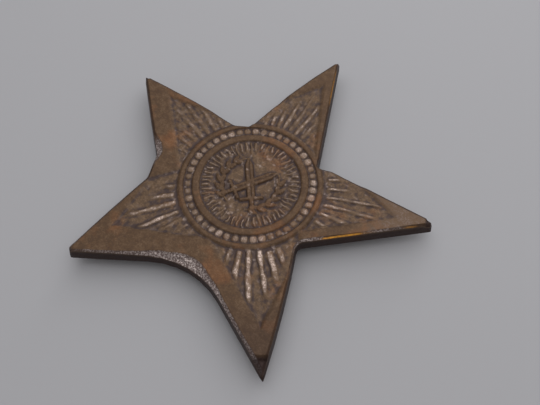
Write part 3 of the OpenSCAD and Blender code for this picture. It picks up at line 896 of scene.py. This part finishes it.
def bevel_rim(on_face, height, distance, place):
    """Files the rim's bevel into the face, and tells how far down it and how coarse each point is."""
    raw = rim_values(RAW_BEVEL, place, 1)
    width = rim_values(RIM_BEVEL, place, 1) * (1 + 0.08 * lumps(place * 14, place * 0, 1, 21))
    bevel = np.clip(1 - distance / width, 0, 1)
    depth = rim_values(RIM_BEVEL, place, 2)
    height -= depth * (bevel + ARRIS_BREAK * smooth(bevel, 0, 0.25)) / (1 + ARRIS_BREAK)
    height += raw * smooth(bevel, 0, 0.1) * 0.05 * lumps(*on_face.T, 0.3, 22)
    return bevel, raw


def wear_points(on_face, height, star):
    """Wears the ends of the points down, and tells how worn and how rubbed each place is, and how far
    painted shade darkens it.
    """
    worn, rubbed, stained = np.zeros((3, len(on_face)))
    for i, (end, drop, rub, stain) in enumerate(WORN_POINT):
        turn, reach, _ = POINT_TRIM[i]
        left = star.point_reach + reach - on_face @ polar(1, TOP_BEARING + ARM_STEP * i + turn)
        left = left + 0.12 * lumps(*on_face.T, 0.6, 23)
        end_share = (1 - smooth(left, end - 0.3, end)) * (left < TIP_LIMIT)
        height -= drop * end_share * (0.75 + 0.25 * np.clip(1 - left / end, 0, 1))
        near_end = 1 - smooth(left, *TIP_FADE)
        worn = np.maximum(worn, end_share)
        rubbed = np.maximum(rubbed, rub * near_end)
        # The stain is painted shade on the flat behind a point's end, set only for the arm at 306 degrees
        stained = np.maximum(stained, stain * near_end)
    return worn, rubbed, stained


class MEDAL_OT_strike_star(bpy.types.Operator):
    """Strikes the star, with its panels, rays, medallion and emblem, and trims its outline"""
    bl_idname = "medal.strike_star"
    bl_label = "Strike Star"

    def execute(self, context):
        star, medallion = in_mm(context.scene.medal_star), in_mm(context.scene.medal_medallion)
        rim, flat, outwards = star_rings(star)
        on_face = np.concatenate(flat)
        height, handled, rubbed = face_height(*on_face.T, star, medallion)
        distance, steps = rim_distance(on_face, rim)
        place = steps / PER_SIDE
        bevel, raw = bevel_rim(on_face, height, distance, place)
        # The stained share is painted shade on the end of the arm at 306 degrees
        worn, rubbed_end, stained = wear_points(on_face, height, star)
        height = np.maximum(height, LEAST_METAL - star.thickness)
        sides = wall_and_back(star, rim, outwards, height[-len(rim):])
        points = np.concatenate([np.column_stack((on_face, height))] + sides)
        face_z = BACK_Z + star.thickness
        points += (0, -star.rise, face_z)
        piece = mesh_object("struck_star", points, skin(flat + sides))

        values = {name: getattr(medallion, name.lower().replace(" ", "_")) for name in COUNTS + LENGTHS}
        values["Bead Ring"] = (medallion.channel_outer + medallion.channel_inner) / 2
        values["Lowest"] = BACK_Z + 0.5 * star.thickness
        values = {name: float(value) if name in COUNTS else value * MM for name, value in values.items()}
        values["Middle"] = (0, -star.rise * MM, 0)
        values["Metal"] = patinated_bronze(context.scene.medal_finish)
        run_tree(piece, radiating_tree(), values)

        mesh = piece.data
        points = coordinates(mesh)
        lift = (points[:len(on_face), 2] / MM - height - face_z) / medallion.bar_height
        # The tops of the beads and bars are painted rubbed pink-white, partly worn metal and partly painted
        # highlight
        rubbed = np.maximum.reduce((rubbed, rubbed_end * handled, 0.6 * smooth(lift, 0.45, 1.1)))
        # The yellow arris: metal rubbed bare, with a painted highlight
        bright = rim_values(BARE_ARRIS_HIGHLIGHT, place, 1) * (1 - smooth(distance, *ARRIS_HIGHLIGHT_FADE))
        # The arris is painted dark, partly tarnish and partly painted shade where it turns over to the wall
        arris_tarnish_and_shade = ARRIS_TARNISH_AND_SHADE * smooth(bevel, 0.02, 0.3) * (1 - raw) * (1 - bright)
        # The wall is painted darker from its arris down, as tarnish and as painted shade that deepens
        # towards its foot, and the back keeps the brown of the patina
        top, step = WALL_TARNISH_AND_SHADE
        tarnish = [min(1, top + step * k) if len(ring) == len(rim) else BACK_TARNISH
                   for k, ring in enumerate(sides)]
        beyond_face = np.repeat(tarnish, [len(ring) for ring in sides])
        wear = {"handled": handled, "rubbed": rubbed * (bevel <= 0), "bright": bright,
                "raw": raw * smooth(bevel, 0.02, 0.15),
                # side: the wall's tarnish and painted shade, the worn ends painted dark, and painted shade
                # on the end of the arm at 306 degrees and on the arris
                "side": np.maximum.reduce((worn * END_DARKENING, stained, arris_tarnish_and_shade)),
                "crest": crests(mesh, points, CREST_PASSES)[:len(on_face)]}
        for name, shares in wear.items():
            rest = beyond_face if name == "side" else 0 * beyond_face
            write_attribute(mesh, name, np.concatenate((shares, rest)))
        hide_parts("star_body")
        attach(piece, "medal")
        return {"FINISHED"}


# Points of a CAD mesh that are closer than this, in millimetres, are one, and faces that turn less than
# this angle are one face
WELD = 0.002
FLAT_TURN = math.radians(0.5)
# What turns more than this is an edge, and is rounded in this many steps
EDGE_TURN = math.radians(35)
EDGE_STEPS = 3


def softened(name, node, width, metal, body):
    """A copy of a CAD piece whose edges are rounded as worn metal's are, which stands for that piece."""
    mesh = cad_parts[node].data.copy()
    shape = bmesh.new()
    shape.from_mesh(mesh)
    bmesh.ops.remove_doubles(shape, verts=shape.verts, dist=WELD * MM)
    bmesh.ops.dissolve_limit(shape, angle_limit=FLAT_TURN, verts=shape.verts, edges=shape.edges)
    shape.to_mesh(mesh)
    shape.free()
    mesh.name = name
    mesh.materials.clear()
    mesh.materials.append(metal)
    mesh.shade_smooth()
    piece = bpy.data.objects.new(name, mesh)
    bpy.context.scene.collection.objects.link(piece)
    edge = piece.modifiers.new("worn_edges", "BEVEL")
    edge.width = width * MM
    edge.segments = EDGE_STEPS
    edge.limit_method = "ANGLE"
    edge.angle_limit = EDGE_TURN
    edge.harden_normals = True
    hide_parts(node)
    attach(piece, body)


class MEDAL_OT_fit_hinge(bpy.types.Operator):
    """Finishes the hinge bracket and its rivet"""
    bl_idname = "medal.fit_hinge"
    bl_label = "Fit Hinge"

    def execute(self, context):
        finish = context.scene.medal_finish
        softened("hinge_bracket_sheet", "hinge_bracket", 0.05, sheet_brass(finish), "medal")
        # Drawn wire, cut and headed: smoother and cleaner than the sheet, so it glints more
        drawn = worked_metal("drawn_brass_rivet", finish.brass, finish.brass_dark, 0.3, 0.1, stained=0.4)
        softened("hinge_rivet_wire", "hinge_rivet", 0.06, drawn, "medal")
        return {"FINISHED"}


class MEDAL_OT_fit_catch(bpy.types.Operator):
    """Finishes the catch and its roll-over lock"""
    bl_idname = "medal.fit_catch"
    bl_label = "Fit Catch"

    def execute(self, context):
        finish = context.scene.medal_finish
        softened("catch_sheet", "catch_body", 0.04, sheet_brass(finish), "medal")
        # Turned brass, kept clean by fingers: the brightest of the fittings, with the finest lines
        turned = worked_metal("turned_brass_lock", finish.brass, finish.brass_dark, 0.28, 0.08, stained=0.35)
        softened("catch_lock_ring", "catch_lock", 0.03, turned, "lock")
        return {"FINISHED"}


class MEDAL_OT_draw_pin(bpy.types.Operator):
    """Finishes the brooch pin"""
    bl_idname = "medal.draw_pin"
    bl_label = "Draw Pin"

    def execute(self, context):
        finish = context.scene.medal_finish
        # Drawn steel: cool grey, with die lines along the wire and brown stains where rust began
        wire = worked_metal("drawn_steel_wire", finish.steel, finish.steel_stain, 0.3, 0.1, (0.1, 1, 1), 0.5)
        softened("brooch_pin_wire", "brooch_pin", 0.05, wire, "pin")
        return {"FINISHED"}


class MEDAL_OT_flow_solder(bpy.types.Operator):
    """Flows the solder round the feet of the hinge and the catch"""
    bl_idname = "medal.flow_solder"
    bl_label = "Flow Solder"

    def execute(self, context):
        finish = context.scene.medal_finish
        # Soft solder as it flowed: dull grey with broad ripples in place of lines, and darker patches
        dull = worked_metal("soft_solder", finish.solder, finish.solder_dark, 0.42, 0.5, stained=0.5)
        for name in ("hinge_solder", "catch_solder"):
            softened(name + "_fillet", name, 0.09, dull, "medal")
        return {"FINISHED"}


# Where the camera looks, and half the floor's width
CAMERA_TARGET = Vector((3.87, -1.79, 2.85)) * MM
FLOOR_HALF = 0.6
# A broad soft light high over the medal and a small weak one low behind it: how far to the left of the
# target, behind it and above it as the camera sees it, size, and share of the power
LIGHTS = {"high_light": (-0.03, 0.06, 0.2, 0.36, 0.4), "low_light": (-0.1, 0.22, 0.1, 0.1, 0.08)}


class MEDAL_OT_set_stage(bpy.types.Operator):
    """Sets the plain floor, the soft lights and the camera"""
    bl_idname = "medal.set_stage"
    bl_label = "Set Stage"

    def execute(self, context):
        scene, stage = context.scene, context.scene.medal_stage
        floor = bpy.data.meshes.new("floor")
        corners = ((-1, -1), (1, -1), (1, 1), (-1, 1))
        corners = [(x * FLOOR_HALF, y * FLOOR_HALF, cad_low.z) for x, y in corners]
        floor.from_pydata(corners, [], [(0, 1, 2, 3)])
        ground = bpy.data.objects.new("floor", floor)
        scene.collection.objects.link(ground)
        plain, node, _ = new_material("plain_matt_floor")
        # Matt, so that it shows the medal's shadow and no glare
        cloth = scene.medal_finish.cloth
        shader = node("ShaderNodeBsdfPrincipled", {"Base Color": cloth, "Roughness": 0.75})
        node("ShaderNodeOutputMaterial", (shader,))
        floor.materials.append(plain)

        way = Vector((-math.cos(stage.azimuth) * math.cos(stage.elevation),
                      -math.sin(stage.azimuth) * math.cos(stage.elevation), -math.sin(stage.elevation)))
        lens = bpy.data.cameras.new("camera")
        lens.lens = stage.lens
        lens.clip_start = 0.002
        camera = bpy.data.objects.new("camera", lens)
        camera.rotation_mode = "QUATERNION"
        camera.location = CAMERA_TARGET - way * stage.distance
        camera.rotation_quaternion = way.to_track_quat("-Z", "Y") @ Quaternion((0, 0, 1), stage.roll)
        scene.collection.objects.link(camera)
        scene.camera = camera

        level_way = Vector((way.x, way.y, 0)).normalized()
        left = Vector((-level_way.y, level_way.x, 0))
        for name, (side, back, up, size, share) in LIGHTS.items():
            lamp = bpy.data.lights.new(name, "AREA")
            lamp.size = size
            lamp.energy = stage.key_power * share
            light = bpy.data.objects.new(name, lamp)
            light.location = CAMERA_TARGET + left * side + level_way * back + Vector((0, 0, up))
            light.rotation_mode = "QUATERNION"
            light.rotation_quaternion = (CAMERA_TARGET - light.location).to_track_quat("-Z", "Y")
            scene.collection.objects.link(light)
        world = bpy.data.worlds.new("soft_room")
        world.use_nodes = True
        background = world.node_tree.nodes["Background"]
        background.inputs["Color"].default_value = scene.medal_finish.room
        background.inputs["Strength"].default_value = stage.fill
        scene.world = world
        scene.view_settings.view_transform = "Standard"
        return {"FINISHED"}


class MEDAL_PT_panel(bpy.types.Panel):
    """Lists what makes the medal"""
    bl_label = "Star Medal"
    bl_space_type = "VIEW_3D"
    bl_region_type = "UI"
    bl_category = "Star Medal"

    def draw(self, context):
        for operator in OPERATORS:
            self.layout.operator(operator.bl_idname)
        for name in GROUPS:
            group = getattr(context.scene, name)
            for prop in group.bl_rna.properties:
                if prop.identifier not in {"rna_type", "name"}:
                    self.layout.prop(group, prop.identifier)


GROUPS = {"medal_star": MEDAL_PG_star, "medal_medallion": MEDAL_PG_medallion,
          "medal_finish": MEDAL_PG_finish, "medal_stage": MEDAL_PG_stage}
OPERATORS = (MEDAL_OT_strike_star, MEDAL_OT_fit_hinge, MEDAL_OT_fit_catch, MEDAL_OT_draw_pin,
             MEDAL_OT_flow_solder, MEDAL_OT_set_stage)


def register():
    for cls in (*GROUPS.values(), *OPERATORS, MEDAL_PT_panel):
        bpy.utils.register_class(cls)
    for name, group in GROUPS.items():
        setattr(bpy.types.Scene, name, bpy.props.PointerProperty(type=group))


def unregister():
    for name in GROUPS:
        delattr(bpy.types.Scene, name)
    for cls in reversed((*GROUPS.values(), *OPERATORS, MEDAL_PT_panel)):
        bpy.utils.unregister_class(cls)


def main():
    """Makes every piece and the stage."""
    register()
    bpy.ops.medal.strike_star()
    bpy.ops.medal.fit_hinge()
    bpy.ops.medal.fit_catch()
    bpy.ops.medal.draw_pin()
    bpy.ops.medal.flow_solder()
    bpy.ops.medal.set_stage()


if __name__ == "__main__":
    main()
